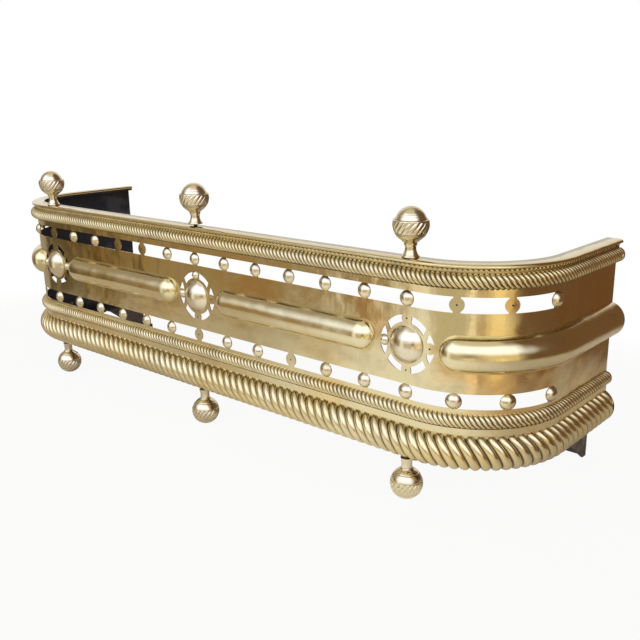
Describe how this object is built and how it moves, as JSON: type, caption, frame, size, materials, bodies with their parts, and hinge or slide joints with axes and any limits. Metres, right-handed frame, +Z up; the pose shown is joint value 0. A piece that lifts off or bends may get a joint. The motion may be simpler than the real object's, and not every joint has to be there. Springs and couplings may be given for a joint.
{
  "type": "fire fender",
  "caption": "Free-standing U-shaped brass fire fender: pierced front, rope mouldings, half-round bolsters, domed bosses and studs, ball finials and ball feet, black inside.",
  "frame": {"origin": "middle of the whole object's box, at floor level", "axes": "+X along the front towards the right return, -Y towards the room, +Z up"},
  "size_m": [1.0818, 0.2822, 0.3715],
  "materials": {
    "panel_brass": "polished sheet brass, lightly tarnished",
    "moulding_brass": "polished brass, dark in the hollows",
    "cast_brass": "polished cast brass, dark in the hollows",
    "black_paint": "black paint on iron, worn to grey-brown",
    "bare_iron": "brown-grey rusted iron",
    "steel_fixings": "dull steel"
  },
  "bodies": {
    "root": {"pierced_panel": "panel_brass", "cap_rail": "moulding_brass", "top_rope": "moulding_brass", "lower_rope": "moulding_brass", "base_fillet": "panel_brass", "base_rope": "moulding_brass", "top_iron": "black_paint", "base_iron_front": "black_paint", "base_iron_left": "black_paint", "base_iron_right": "black_paint", "finial_left": "cast_brass", "finial_centre": "cast_brass", "finial_right": "cast_brass", "foot_left": "cast_brass", "foot_centre": "cast_brass", "foot_right": "cast_brass", "rear_foot_left": "bare_iron", "rear_foot_right": "bare_iron", "bolster_front_left": "panel_brass", "bolster_front_right": "panel_brass", "bolster_corner_left": "panel_brass", "bolster_corner_right": "panel_brass", "boss_left": "cast_brass", "boss_centre": "cast_brass", "boss_right": "cast_brass", "boss_nuts": "steel_fixings", "upper_studs": "cast_brass", "lower_studs": "cast_brass", "rosette_studs": "cast_brass", "finial_screws": "steel_fixings", "finial_nuts": "steel_fixings", "foot_screws": "steel_fixings", "base_rivets": "bare_iron", "rear_foot_rivets": "bare_iron", "rope_end_pins": "cast_brass"}
  },
  "joints": []
}
